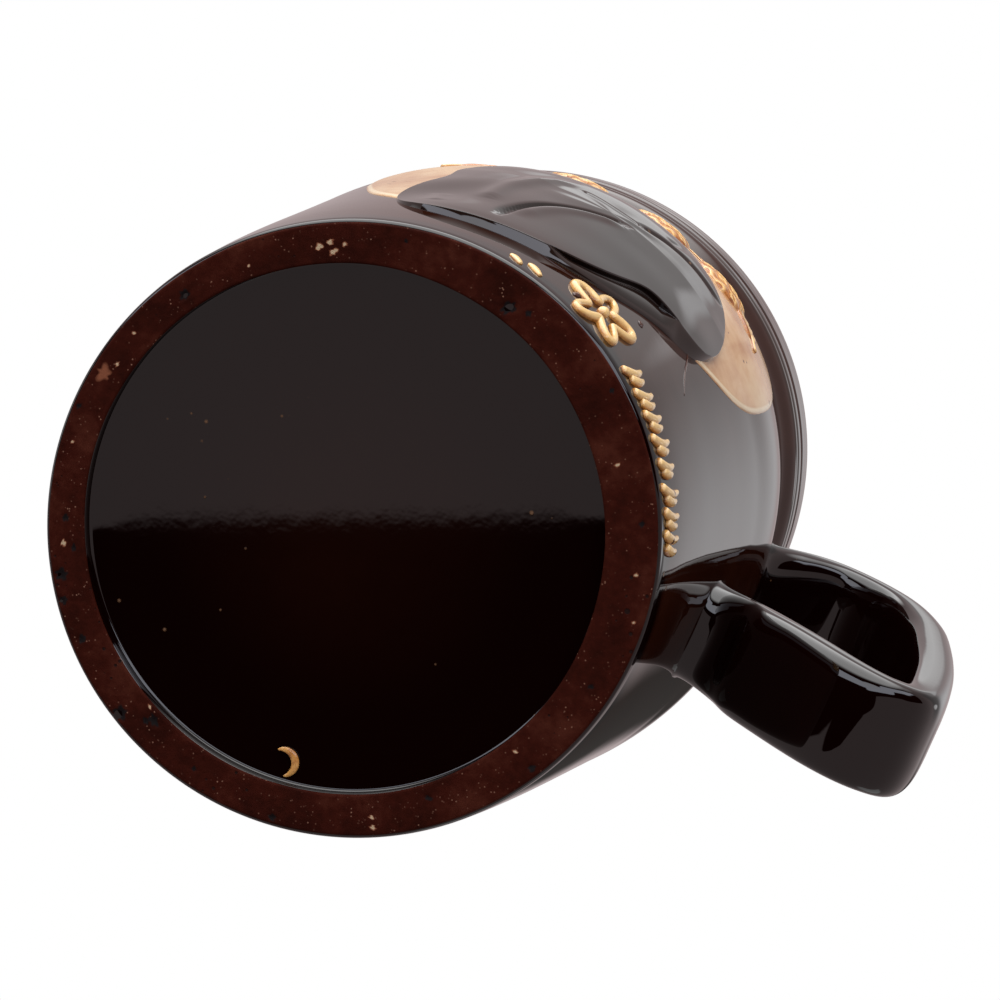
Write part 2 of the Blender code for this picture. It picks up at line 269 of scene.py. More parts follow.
def add_node(tree, kind, inputs=None, **settings):
    """A shader node with its settings; each input is given a value, or a socket that is linked to it."""
    made = tree.nodes.new("ShaderNode" + kind)
    for name, value in settings.items():
        setattr(made, name, value)
    for key, value in (inputs or {}).items():
        if isinstance(value, bpy.types.NodeSocket):
            tree.links.new(value, made.inputs[key])
        else:
            made.inputs[key].default_value = value
    return made


def math_node(tree, operation, *values):
    """The output of one Math node; each value is a number or a socket."""
    return add_node(tree, "Math", dict(enumerate(values)), operation=operation).outputs[0]


def ramp(tree, value, *stops):
    """The output of a colour ramp through stops of (place, colour)."""
    made = add_node(tree, "ValToRGB", {"Fac": value})
    elements = made.color_ramp.elements
    while len(elements) < len(stops):
        elements.new(0.5)
    for element, (place, colour) in zip(elements, stops):
        element.position = place
        element.color = (*colour, 1) if len(colour) == 3 else colour
    return made.outputs["Color"]


def ranged(tree, value, start, end, low_value=0.0, high_value=1.0):
    """The output of a node that maps start to end onto low_value to high_value, and holds it between them."""
    ends = {"From Min": start, "From Max": end, "To Min": low_value, "To Max": high_value}
    return add_node(tree, "MapRange", {"Value": value, **ends}).outputs["Result"]


def laid_over(tree, share, under, over):
    """The output of a node that lays one plain colour over another by a share."""
    made = add_node(tree, "Mix", {"Factor": share, "A": under, "B": (*over, 1)}, data_type="RGBA")
    return made.outputs["Result"]


def effect_group(name, inputs, outputs):
    """An empty node group with float or colour sockets; returns it with its input and output nodes."""
    group = bpy.data.node_groups.new(name, "ShaderNodeTree")
    for way, sockets in (("INPUT", inputs), ("OUTPUT", outputs)):
        for label, kind in sockets:
            group.interface.new_socket(name=label, in_out=way, socket_type="NodeSocket" + kind)
    return group, group.nodes.new("NodeGroupInput"), group.nodes.new("NodeGroupOutput")


def fired_skin_group():
    """What the kiln leaves on every finish: slow mottling, small specks and pinholes, and a height for them.

    Tone mixes two sizes of noise. Specks are the middles of a few cells of a cell pattern, kept only where
    another noise is high. Height is fine orange peel, less the specks.
    """
    group, given, out = effect_group(
        "fired_skin",
        [("Mottle Scale", "Float"), ("Speck Scale", "Float"), ("Speck Size", "Float")],
        [("Tone", "Float"), ("Specks", "Float"), ("Height", "Float")],
    )
    place = add_node(group, "TexCoord").outputs["Object"]
    broad_scale = given.outputs["Mottle Scale"]
    broad = add_node(group, "TexNoise", {"Vector": place, "Scale": broad_scale, "Detail": 5.0})
    finer_scale = math_node(group, "MULTIPLY", broad_scale, 7.0)
    fine = add_node(group, "TexNoise", {"Vector": place, "Scale": finer_scale, "Detail": 3.0})
    tone = math_node(group, "MULTIPLY_ADD", fine.outputs["Fac"], 0.35, -0.175)
    tone = math_node(group, "ADD", tone, broad.outputs["Fac"])
    group.links.new(tone, out.inputs["Tone"])
    cells = add_node(group, "TexVoronoi", {"Vector": place, "Scale": given.outputs["Speck Scale"]})
    thin_out = add_node(group, "TexNoise", {"Vector": place, "Scale": 60.0, "Detail": 2.0})
    size = math_node(group, "SUBTRACT", thin_out.outputs["Fac"], 0.53)
    size = math_node(group, "MULTIPLY", size, given.outputs["Speck Size"])
    inside = math_node(group, "SUBTRACT", size, cells.outputs["Distance"])
    specks = ranged(group, inside, -0.02, 0.05)
    group.links.new(specks, out.inputs["Specks"])
    peel = add_node(group, "TexNoise", {"Vector": place, "Scale": 420.0, "Detail": 2.0, "Roughness": 0.6})
    height = math_node(group, "SUBTRACT", peel.outputs["Fac"], specks)
    group.links.new(height, out.inputs["Height"])
    return group


fired_skin = fired_skin_group()


def new_finish(name):
    """A material with its node tree and its Principled shader."""
    material = bpy.data.materials.new(name)
    material.use_nodes = True
    return material, material.node_tree, material.node_tree.nodes["Principled BSDF"]


def skin_node(tree, mottle_scale, speck_scale, speck_size):
    """A node that places the fired skin in a material, with that material's own values."""
    values = {"Mottle Scale": mottle_scale, "Speck Scale": speck_scale, "Speck Size": speck_size}
    return add_node(tree, "Group", values, node_tree=fired_skin)


def cover(tree, shader, colour, roughness, height, strength, depth):
    """Links a colour and a roughness to a shader, and a height through a bump that is so strong and deep."""
    bump = add_node(tree, "Bump", {"Height": height, "Strength": strength, "Distance": depth})
    linked = {"Base Color": colour, "Roughness": roughness, "Normal": bump.outputs["Normal"]}
    for name, socket in linked.items():
        tree.links.new(socket, shader.inputs[name])


def iron_glaze(name, pooled, middling, bared):
    """Glossy iron glaze: near black in pools, and red-brown as the mark rises to 1 where it thins."""
    material, tree, shader = new_finish(name)
    skin = skin_node(tree, 45.0, 300.0, 0.7)
    mark = add_node(tree, "Attribute", attribute_name="mark").outputs["Fac"]
    swing = ranged(tree, skin.outputs["Tone"], 0.3, 0.7, 0.75, 1.25)
    amount = math_node(tree, "MULTIPLY", mark, swing)
    colour = ramp(tree, amount, (0.0, pooled), (0.5, middling), (1.0, bared))
    colour = laid_over(tree, skin.outputs["Specks"], colour, (0.10, 0.05, 0.022))
    dull = ranged(tree, skin.outputs["Specks"], 0.0, 1.0, 0.022, 0.35)
    cover(tree, shader, colour, dull, skin.outputs["Height"], 0.30, 0.000008)
    shader.inputs["IOR"].default_value = 1.5
    return material


body_glaze = iron_glaze(
    "dark_iron_glaze", (0.0026, 0.0003, 0.0002), (0.020, 0.0050, 0.0022), (0.042, 0.0125, 0.0062),
)
body = jug_piece("thrown_body", [thrown_body()], body_glaze)
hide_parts("jug")

# ---------------------------------------------------------------------------------------------------------
# The foot ring: the flat bottom of the wall, wiped clean of glaze so that the jug doesn't stick to the kiln
# shelf. It is bare red-brown stoneware, open and matte, with pits, rubbed edges and a few specks of slip.
# ---------------------------------------------------------------------------------------------------------

RING_OUTER = 42.55
RING_TOP = 1.6
RING_SIDES = 720
# The radius of its two lower corners, and how high its flat face with the pits may reach.
RING_BEVEL = 0.35
FACE_TOP = 0.6
# Pits and chips: azimuth from the front in degrees, radius, size and depth.
PITS = (
    (-59, 39.5, 0.75, 0.55), (13, 38.3, 0.85, 0.60), (16.5, 39.3, 0.40, 0.25), (-123, 41.6, 0.9, 0.40),
    (-128, 42.1, 0.6, 0.45), (-112, 40.3, 0.5, 0.30), (-118, 39.1, 0.55, 0.30), (-136, 41.3, 0.6, 0.35),
    (-152, 41.9, 1.0, 0.60), (-158, 38.5, 0.9, 0.35), (-156.5, 39.6, 0.5, 0.3), (-90, 41.8, 0.4, 0.25),
    (118, 41.0, 0.5, 0.3), (98, 39.6, 0.35, 0.25), (64, 40.6, 0.4, 0.3), (-12, 40.5, 0.3, 0.2),
    (172, 41.6, 0.5, 0.35), (139, 38.4, 0.4, 0.25), (-170, 40.2, 0.35, 0.25), (38, 41.4, 0.35, 0.2),
)
# Specks of pale slip pressed into the clay: azimuth, radius and size.
PALE_SPECKS = (
    (-29, 39.1, 0.55), (-27, 39.6, 0.45), (-25.6, 38.2, 0.55), (-24, 39.2, 0.35), (-117, 40.8, 0.45),
    (-79, 39.7, 0.35), (-72, 40.5, 0.3), (-156, 37.2, 0.35), (152, 39.7, 0.35), (152, 41.1, 0.4),
    (52, 38.8, 0.3), (74, 40.2, 0.3), (83, 41.2, 0.25), (-97, 41.0, 0.25), (-44, 38.6, 0.25),
    (118, 38.2, 0.3),
)
# A rubbed tan smear: azimuth, radius, size, and how many times as long it is round the ring as across.
TAN_SMEAR = (-82, 40.6, 1.1, 1.4)


def ring_section():
    """Closed section of the ring: along its flat face outwards, round the edge, and back inside the clay."""
    face = np.linspace(RING_BEVEL, RING_OUTER - RING_INNER - RING_BEVEL, 26)
    flat = np.stack([RING_INNER + face, 0 * face], 1)
    corner = (RING_BEVEL, RING_BEVEL)
    outer = arc((RING_OUTER - RING_BEVEL, RING_BEVEL), corner, -75, 0, 6)
    inner = arc((RING_INNER + RING_BEVEL, RING_BEVEL), corner, 180, 255, 6)
    top = np.array([
        (RING_OUTER - 0.1, RING_TOP), (RING_INNER + 3.5, RING_TOP + 0.4), (RING_INNER + 0.5, RING_TOP),
    ])
    return np.concatenate([flat, outer, top, inner])


def degrees_off(degrees, middle):
    """How far directions lie from a middle one, from -180 to 180 degrees."""
    return (degrees - middle + 180) % 360 - 180


def ring_marks(turn, radius):
    """The ring's map of marks: about -1 in pits, 0 on plain clay, 1 on pale slip, 0.4 on the tan smear."""
    degrees = np.degrees(turn)
    marks = np.zeros(np.broadcast_shapes(turn.shape, radius.shape))

    def spot(azimuth, at, size, long=1.0):
        off = degrees_off(degrees, azimuth)
        away = np.hypot(np.radians(off) * at / long, radius - at)
        ragged = 1 + 0.25 * np.sin(5 * np.arctan2(radius - at, off) + azimuth)
        return 1 - eased((away / (size * ragged) - 0.5) / 0.7)

    for azimuth, at, size in PALE_SPECKS:
        marks = np.maximum(marks, spot(azimuth, at, size))
    marks = np.maximum(marks, 0.4 * spot(*TAN_SMEAR))
    for azimuth, at, size, _ in PITS:
        marks = marks - spot(azimuth, at, size)
    return marks


def foot_ring():
    """The section carried round, with pits and chips pressed in and a hand-wiped, wavering inner edge.

    Depth is the sum over the pits of each one's depth times its own round bump; the radius wavers by a
    tenth near both edges.
    """
    turn = np.linspace(-math.pi, math.pi, RING_SIDES, endpoint=False)[:, None]
    section = ring_section()
    radius = section[:, 0] + 0 * turn
    height = section[:, 1] + 0 * turn
    inner_side = 1 - eased((radius - RING_INNER) / 1.2)
    outer_side = eased((radius - RING_OUTER + 1.0) / 1.0)
    inner_wave, outer_wave = waves(3 * turn, 0, 11, 7), waves(5 * turn, 0, 12, 7)
    radius = radius + 0.13 * inner_wave * inner_side + 0.10 * outer_wave * outer_side
    for azimuth, at, size, depth in PITS:
        away = np.hypot(np.radians(degrees_off(np.degrees(turn), azimuth)) * at, radius - at)
        height = height + depth * (1 - eased(away / (1.3 * size))) * (height < FACE_TOP)
    height = height + (0.03 + 0.03 * waves(4 * turn, radius, 17, 8)) * (height < FACE_TOP / 2)
    radius = radius + oval_shift(turn, radius)
    shift = 1 - eased((radius - RING_INNER) / RECESS_FADE)
    rings = about_axis(radius, turn, height)
    rings[:, :, 0] += RECESS_SHIFT[0] * shift
    rings[:, :, 1] += RECESS_SHIFT[1] * shift
    marks = ring_marks(turn, radius) * (section[:, 1] < FACE_TOP)
    return closed_skin(rings, marks, hoop=True)


def bare_clay_finish():
    """Matte red-brown stoneware: grainy, with dark and pale grog, rubbed lighter and darker in patches,
    painted shade in pits.
    """
    material, tree, shader = new_finish("bare_red_stoneware")
    skin = skin_node(tree, 110.0, 700.0, 1.5)
    place = add_node(tree, "TexCoord").outputs["Object"]
    colour = ramp(
        tree, skin.outputs["Tone"],
        (0.34, (0.0160, 0.0024, 0.0010)), (0.52, (0.0275, 0.0042, 0.0020)), (0.70, (0.0455, 0.0105, 0.0056)),
    )
    grog = add_node(tree, "TexVoronoi", {"Vector": place, "Scale": 1500.0}, feature="F1")
    pale_grog = ranged(tree, grog.outputs["Distance"], 0.22, 0.05)
    sparse = add_node(tree, "TexNoise", {"Vector": place, "Scale": 500.0, "Detail": 1.0})
    grog_amount = math_node(tree, "MULTIPLY", pale_grog, ranged(tree, sparse.outputs["Fac"], 0.48, 0.66))
    colour = laid_over(tree, grog_amount, colour, (0.20, 0.10, 0.065))
    colour = laid_over(tree, skin.outputs["Specks"], colour, (0.012, 0.005, 0.004))
    mark = add_node(tree, "Attribute", attribute_name="mark").outputs["Fac"]
    for name, start, end, tint in (
        ("smear", 0.15, 0.40, (0.16, 0.055, 0.028)),
        ("slip", 0.45, 0.75, (0.36, 0.27, 0.17)),
        # The pits are darkened almost to black: painted shade in them.
        ("pit", -0.10, -0.60, (0.008, 0.006, 0.006)),
    ):
        share = ranged(tree, mark, start, end)
        share.node.label = name
        colour = laid_over(tree, share, colour, tint)
    rough = ranged(tree, skin.outputs["Tone"], 0.0, 1.0, 0.55, 0.85)
    grain = add_node(tree, "TexNoise", {"Vector": place, "Scale": 1300.0, "Detail": 4.0, "Roughness": 0.7})
    height = math_node(tree, "SUBTRACT", grain.outputs["Fac"], skin.outputs["Specks"])
    cover(tree, shader, colour, rough, height, 0.8, 0.00012)
    shader.inputs["Specular IOR Level"].default_value = 0.03
    return material


bare_clay = bare_clay_finish()
jug_piece("foot_ring", [foot_ring()], bare_clay)

# ---------------------------------------------------------------------------------------------------------
# The strap handle: a pulled strap of clay, bent to an ear and luted to the wall at both ends. The joint
# below is thumbed into a rolled ridge with a hollow after it; both joints are smoothed into the wall, and
# the whole is dipped with the body.
# ---------------------------------------------------------------------------------------------------------

HANDLE_OUT = (42.5, 49.5, 59.0, 69.0, 75.8, 79.3, 78.9, 76.7, 73.4, 67.6, 58.2, 50.0, 43.0)
HANDLE_UP = (46.5, 42.0, 33.5, 26.9, 26.5, 32.4, 53.5, 73.8, 91.4, 103.0, 106.3, 101.8, 95.0)
STRAP_HALF_WIDTH = 8.1
STRAP_HALF_THICKNESS = 3.5
# At the luted ends, how much thicker and wider the strap is, as shares, and how far along it that reaches.
JOINT = (0.34, -0.12, 11.0)
# On the outer side, a thumbed ridge, a hollow and a swelling: distance from the lower end, width and height.
JOINT_SHAPE = ((5.4, 2.4, 0.7), (11.6, 3.2, -1.2), (17.4, 2.8, 0.6))
# Smoothing into the wall: how near to it that starts, how far the clay is pushed out at the wall as a share
# of that, and by what share less at the strap's two edges.
FILLET = 4.6
FILLET_SHARE = 0.55
FILLET_LESS = 0.75
# How deep in the wall the luted clay may lie.
BURIED = 3.0
# The strap bows out on its front side below: place along it, spread, and how far.
STRAP_BOW = (27.0, 15.0, 0.5)
# How much its outer face is rounded across.
STRAP_CROWN = 0.35


def strap_section(count, roundness):
    """Points round a rounded oblong as shares of its half width and half thickness, by a superellipse.

    Roundness is 0 where the oblong is squarish and 1 where it is nearly an oval, at each ring.
    """
    turn = np.linspace(0, math.tau, count, endpoint=False) + math.pi / count
    side, depth = np.cos(turn), np.sin(turn)
    side = np.sign(side) * np.abs(side) ** (0.34 + 0.46 * roundness)
    return side, np.sign(depth) * np.abs(depth) ** (0.5 + 0.35 * roundness)


def strap_handle():
    """The section carried along the bent line, swollen and filleted where it meets the wall.

    The line goes smoothly through its stations. Within the reach of an end the section grows as the Gauss
    curve does. Near the wall each point is pushed away from the line, by the fillet's share times the drop of
    a quarter circle below its tangent to the power 1.3, and less towards the strap's two edges. No point goes
    deeper into the wall than the clay there hides.
    """
    stations = np.arange(len(HANDLE_OUT))
    along = np.concatenate([np.linspace(0, 2.4, 120), np.linspace(2.4, len(HANDLE_OUT) - 1, 200)[1:]])
    middle = np.stack([through(stations, HANDLE_OUT, along), through(stations, HANDLE_UP, along)], 1)
    ahead = np.gradient(middle, axis=0)
    step = np.hypot(*ahead.T)
    ahead = ahead / step[:, None]
    length = np.cumsum(step) - step[0]
    outward = np.stack([ahead[:, 1], -ahead[:, 0]], 1)
    swell, widening, reach = JOINT
    near_end = bell(np.minimum(length, length[-1] - length), 0, reach)
    half_width = STRAP_HALF_WIDTH * (1 + widening * near_end)
    half_thick = STRAP_HALF_THICKNESS * (1 + swell * near_end)
    side, depth = strap_section(88, near_end[:, None])
    bow_place, bow_spread, bow_reach = STRAP_BOW
    bow = bow_reach * bell(length, bow_place, bow_spread)[:, None]
    across = half_width[:, None] * side - bow * np.clip(-side, 0, 1)
    outer = eased(depth * 1.5)
    through_clay = half_thick[:, None] * depth - STRAP_CROWN * outer * side**2
    for place, width, rise in JOINT_SHAPE:
        through_clay = through_clay + rise * bell(length, place, width)[:, None] * outer * (1 - 0.5 * side**2)
    through_clay = through_clay + 0.05 * waves(math.pi * side, length[:, None] / 6, 23, 7, 3.0) * outer
    x = middle[:, :1] + outward[:, :1] * through_clay
    z = middle[:, 1:] + outward[:, 1:] * through_clay
    off_wall = np.hypot(x, across) - wall_radius(z)
    near = np.clip(off_wall, 0, FILLET) / FILLET
    push = FILLET * (1 - np.sqrt(1 - (1 - near) ** 2)) ** 1.3 * FILLET_SHARE
    push = push * (1 - FILLET_LESS * np.abs(side) ** 1.5)
    spread = np.hypot(across / half_width[:, None], through_clay / half_thick[:, None])
    across = across + push * across / half_width[:, None] / spread
    through_clay = through_clay + push * through_clay / half_thick[:, None] / spread
    x = middle[:, :1] + outward[:, :1] * through_clay
    z = middle[:, 1:] + outward[:, 1:] * through_clay
    radius = np.hypot(x, across)
    wanted = np.clip(radius, wall_radius(z) - BURIED, wall_radius(z) + np.maximum(off_wall, -BURIED))
    pull = np.where(near < 1, wanted / np.maximum(radius, 1), 1)
    rings = np.stack([x * pull, across * pull, z], -1)
    return closed_skin(rings)


# The strap's marks are all 0, so the glaze takes its near-black pool colour all over it, darker than the
# wall: painted shade on the handle.
jug_piece("strap_handle", [strap_handle()], body_glaze)

# ---------------------------------------------------------------------------------------------------------
# The slip ground: an oval of tan slip sponged on the front of the wall for the relief to lie on, raised
# by its own thickness, with a cream line trailed round its edge.
# ---------------------------------------------------------------------------------------------------------

RELIEF_TURN = math.radians(7.0)
GROUND_MIDDLE = (0.0, 71.0)
GROUND_CORE = 38.0
# Where it reaches further out: direction from the middle in degrees, how far, and spread in degrees.
GROUND_BUMPS = ((250, 13, 30), (290, 3, 20), (45, 5.5, 28))
# Its height in the middle, the share of that at its edge, the share of its reach over which the edge is
# rounded off, and how deep its underside lies in the wall.
GROUND_RISE = 0.45
GROUND_EDGE = 0.55
GROUND_ROUND = 0.03
GROUND_SUNK = 0.8


def bumpy_oval(turn, core, bumps):
    """Distance of an outline from its middle: a circle with a Gauss bump in each of the given directions."""
    reach = core + 0 * turn
    for direction, height, spread in bumps:
        reach = reach + height * bell(degrees_off(np.degrees(turn), direction), 0, spread)
    return reach


def on_wall(along, z, rise):
    """Points that stand rise above the wall; along is the length round it from the relief's middle line."""
    turn = RELIEF_TURN + along / BELLY_RADIUS
    return about_axis(wall_radius(z) + oval_shift(turn, wall_radius(z)) + rise, turn, z)


def slip_ground():
    """A low pad: its height is flat in the middle, sinks a little towards the edge and rounds off there.

    Rings run from the middle of the top out to the edge and back underneath, inside the clay.
    """
    turn = np.linspace(0, math.tau, 240, endpoint=False)
    round_start = 1 - GROUND_ROUND
    rounding = 1 - GROUND_ROUND * (1 - np.linspace(0, 1, 8)[1:]) ** 2
    out = np.concatenate([np.linspace(0.02, round_start, 56), rounding])[:, None]
    rise = GROUND_RISE * (GROUND_EDGE + (1 - GROUND_EDGE) * np.sqrt(1 - np.minimum(out, 1) ** 6))
    rise = rise * np.sqrt(np.clip(1 - ((out - round_start) / GROUND_ROUND).clip(0) ** 2, 0, 1))
    reach = bumpy_oval(turn, GROUND_CORE, GROUND_BUMPS) * out
    reach = reach * (1 + 0.008 * waves(3 * turn, 0, 31, 6) * out)
    along = GROUND_MIDDLE[0] + reach * np.cos(turn)
    height = GROUND_MIDDLE[1] + reach * np.sin(turn)
    top = on_wall(along, height, rise + 0.03 * waves(turn, 4 * out, 32, 6))
    below = on_wall(along, height, -GROUND_SUNK + 0 * along)[::-4]
    marks = np.concatenate([bell(out, 0.985, 0.010), np.zeros((len(below), 1))])
    return closed_skin(np.concatenate([top, below]), marks + 0 * turn)


def slip_finish(name, dark, middle, light, line, scale):
    """Glossy coloured slip under clear glaze: brushed tones, burnt specks, a lighter colour where the mark is
    high.
    """
    material, tree, shader = new_finish(name)
    skin = skin_node(tree, scale, 420.0, 1.6)
    place = add_node(tree, "TexCoord").outputs["Object"]
    drawn_out = add_node(tree, "Mapping", {"Vector": place, "Scale": (1.0, 1.0, 0.35)})
    brushed = add_node(
        tree, "TexNoise",
        {"Vector": drawn_out.outputs["Vector"], "Scale": 5 * scale, "Detail": 4.0, "Distortion": 0.6},
    )
    tone = math_node(tree, "MULTIPLY_ADD", brushed.outputs["Fac"], 0.5, -0.25)
    tone = math_node(tree, "ADD", tone, skin.outputs["Tone"])
    colour = ramp(tree, tone, (0.30, dark), (0.50, middle), (0.68, light))
    mark = add_node(tree, "Attribute", attribute_name="mark").outputs["Fac"]
    # Where the mark is high: a cream line round the edge of the ground, and a painted highlight along the
    # crests of strokes and sprigs.
    colour = laid_over(tree, ranged(tree, mark, 0.25, 0.75), colour, line)
    colour = laid_over(tree, skin.outputs["Specks"], colour, (0.10, 0.035, 0.012))
    rough = ranged(tree, skin.outputs["Tone"], 0.0, 1.0, 0.08, 0.22)
    cover(tree, shader, colour, rough, skin.outputs["Height"], 0.4, 0.00004)
    shader.inputs["IOR"].default_value = 1.5
    return material


tan_slip = slip_finish(
    "tan_slip", (0.38, 0.18, 0.075), (0.49, 0.29, 0.145), (0.55, 0.375, 0.215), (0.65, 0.52, 0.34), 45.0,
)
jug_piece("slip_ground", [slip_ground()], tan_slip)

# ---------------------------------------------------------------------------------------------------------
# The hop leaf: pressed in a plaster mould from a thin bat of clay and laid over the ground while soft. It
# has a plain edge that slants down to the wall and is folded back on the lower right, with soft folds and
# veins pressed in, and it is painted with the dark glaze.
# ---------------------------------------------------------------------------------------------------------

LEAF_MIDDLE = (1.1, 60.5)
LEAF_CORE = 24.0
LEAF_BUMPS = ((247, 24, 27), (279, 10, 19), (315, 8, 35))
# Its height at the edge, how much higher it is in the middle, and how deep its underside lies in the wall.
LEAF_STEP = 1.25
LEAF_SWELL = 0.7
LEAF_SUNK = 0.9
# The edge slants down over a width that is this share of its height. At the lower right it is folded back
# instead: a strip lies lower along it, and a crease parts it from the rest. Direction of the strip's middle
# in degrees, greatest width and spread; directions where the crease starts, is full, starts to wane and
# ends; width of the crease's face, the share by which the strip lies lower, and how far it is cut in beneath.
LEAF_SLANT = 0.32
CREASE = (297, 5.5, 19)
CREASE_ENDS = (270, 276, 306, 314)
CREASE_FACE = 0.14
CREASE_DROP = 0.66
CREASE_UNDERCUT = 0.7
# How much the leaf thickens towards one direction and thins towards the other: degrees, spread, share.
LEAF_THICKER = (300, 30, 0.35)
LEAF_THINNER = (236, 13, -0.75)
# The share by which it is thinner towards its top.
LEAF_THINNING = 0.35
# Folds and veins: three points (along, height) that each passes through, its depth and its half width. A
# negative depth is a ridge.
FOLDS = (
    ((4.6, 60.0), (-5.2, 41.0), (-7.7, 18.0), 0.95, 0.65),
    ((5.0, 65.9), (0.2, 66.2), (-5.2, 68.2), 0.90, 0.65),
    ((5.0, 66.0), (12.5, 72.0), (22.0, 70.5), 0.50, 0.90),
    ((4.0, 56.5), (-3.0, 42.0), (-5.6, 24.0), -0.35, 1.30),
    ((-11.8, 31.0), (-11.8, 52.0), (-6.5, 75.0), -0.40, 1.60),
    ((-17.5, 22.0), (-18.3, 27.0), (-18.6, 32.0), -0.12, 1.20),
    ((9.0, 73.0), (11.0, 77.0), (11.5, 82.0), 0.15, 1.10),
)
CURVE_STEPS = 160


def beside_curve(along, height, first, second, third):
    """How far points lie from the parabola that starts at the first point, ends at the third and passes
    through the second halfway, and how far along it from 0 to 1 the nearest place is; by trying places.
    """
    first, second, third = np.array(first), np.array(second), np.array(third)
    t = np.linspace(0, 1, CURVE_STEPS + 1)[:, None]
    pull = 2 * second - (first + third) / 2
    places = (1 - t) ** 2 * first + 2 * t * (1 - t) * pull + t**2 * third
    away = np.hypot(along[..., None] - places[:, 0], height[..., None] - places[:, 1])
    return away.min(-1), away.argmin(-1) / CURVE_STEPS


def sector(degrees, middle, spread):
    """Gauss curve over the directions round the leaf's middle."""
    return bell(degrees_off(degrees, middle), 0, spread)


def thickened(height, degrees, share):
    """A height made greater towards one direction and less towards another, by a share of the full change."""
    for middle, spread, more in (LEAF_THICKER, LEAF_THINNER):
        height = height * (1 + more * sector(degrees, middle, spread) * share)
    return height


def hop_leaf_skin():
    """One broad leaf: a step above the ground, with a rounded edge and folds pressed along curves in its top.

    Rings run from the middle out to the crease, down the face of the crease and on to the edge, so that the
    crease stays sharp. Outside the crease the height is a quarter ellipse, and where there is no crease it is
    a plain slant down to the wall. Folds fade out at both ends.
    """
    turn = np.linspace(0, math.tau, 520, endpoint=False)
    degrees = np.degrees(turn)
    edge = bumpy_oval(turn, LEAF_CORE, LEAF_BUMPS) + 0.10 * waves(6 * turn, 0, 41, 6)
    start, full, waning, end = CREASE_ENDS
    creased = eased((degrees - start) / (full - start)) * eased((end - degrees) / (end - waning))
    fold_middle, fold_width, fold_spread = CREASE
    strip = LEAF_SLANT * thickened(LEAF_STEP, degrees, 1)
    strip = strip + fold_width * sector(degrees, fold_middle, fold_spread)
    crease = edge - strip - CREASE_FACE
    inner = np.linspace(0.02, 1, 128)[:, None]
    outer = np.sin(np.linspace(0, math.pi / 2, 30))[1:, None]
    face = np.linspace(0, 1, 5)[1:, None]
    foot = crease + CREASE_FACE - (CREASE_FACE + CREASE_UNDERCUT) * creased
    down_face, to_edge = crease + (foot - crease) * face, edge - (edge - foot) * (1 - outer)
    reach = np.concatenate([inner * crease, down_face, to_edge])
    lip = 1 - CREASE_DROP * creased
    from_edge = np.minimum((1 - outer) / (1 - 0.4 * creased), 1)
    swollen = lip + 0.22 * creased * (1 - bell(outer, 0, 0.22))
    slope = (1 - (1 - from_edge) ** (1.25 + 0.75 * creased)) ** (1 / (1 + creased))
    share = np.concatenate([1 + 0 * inner * crease, 1 + (lip - 1) * face, swollen * slope])
    along, height = LEAF_MIDDLE[0] + reach * np.cos(turn), LEAF_MIDDLE[1] + reach * np.sin(turn)
    rise = LEAF_STEP + LEAF_SWELL * (1 - (reach / edge) ** 2)
    rise = thickened(rise, degrees, eased(1.5 * reach / edge - 0.5))
    rise = rise + 0.12 * waves(2 * turn, reach / 8, 43, 9) * eased(reach / 6) * eased((edge - reach) / 4)
    for *points, depth, width in FOLDS:
        away, place = beside_curve(along, height, *points)
        rise = rise - depth * bell(away, 0, width) * eased(6 * place + 0.2) * eased(5 * (1 - place))
    upper_part = np.clip((height - LEAF_MIDDLE[1]) / 30, 0, 1)
    top = on_wall(along, height, rise * (1 - LEAF_THINNING * upper_part) * share + 0.05)
    below = on_wall(along, height, -LEAF_SUNK + 0 * along)[::-6]
    return closed_skin(np.concatenate([top, below]))


leaf_glaze = iron_glaze("leaf_glaze", (0.011, 0.0055, 0.0042), (0.060, 0.028, 0.013), (0.085, 0.040, 0.018))
jug_piece("hop_leaf", [hop_leaf_skin()], leaf_glaze)

# ---------------------------------------------------------------------------------------------------------
# Three hop cones and two ears of barley: small sprigs pressed in moulds and laid on the ground above the
# leaf, the cones scaled like a bud and the ears in two rows of grains with their bristles.
# ---------------------------------------------------------------------------------------------------------

# Each cone's middle along the wall and up, and its lean in degrees; then their half width and half length,
# their height, how deep they are sunk, and how many rows of scales they have.
CONES = ((-10.0, 93.5, 20.0), (5.0, 98.0, 0.0), (19.0, 93.0, -20.0))
CONE_HALF = (5.4, 7.2)
CONE_RISE = 1.1
CONE_SUNK = 0.7
SCALE_ROWS = 5
# The ears lie on an oval: the height of its middle, its two half sizes, the angles where they start and
# end, and how many pairs of grains they have.
EAR_MIDDLE = 72.0
EAR_OVAL = (31.5, 28.0)
EAR_TURNS = (math.radians(32), math.radians(64))
EAR_GRAINS = 9


def pillow_section(count):
    """Round a flat-bottomed section: its place across from -1 to 1, and 1 on the top or 0 underneath."""
    over = np.linspace(math.pi, 0, count)
    under = np.linspace(1, -1, count // 3)[1:-1]
    across = np.concatenate([np.cos(over), under * 0.985])
    return across, np.concatenate([np.ones(count), np.zeros(len(under))])


def leaning(middle, z, lean, x, y):
    """Points x, y of a sprig's own plane, turned by lean degrees and laid with their middle at middle, z."""
    tilt = math.radians(lean)
    along = middle + x * math.cos(tilt) - y * math.sin(tilt)
    return along, z + x * math.sin(tilt) + y * math.cos(tilt)


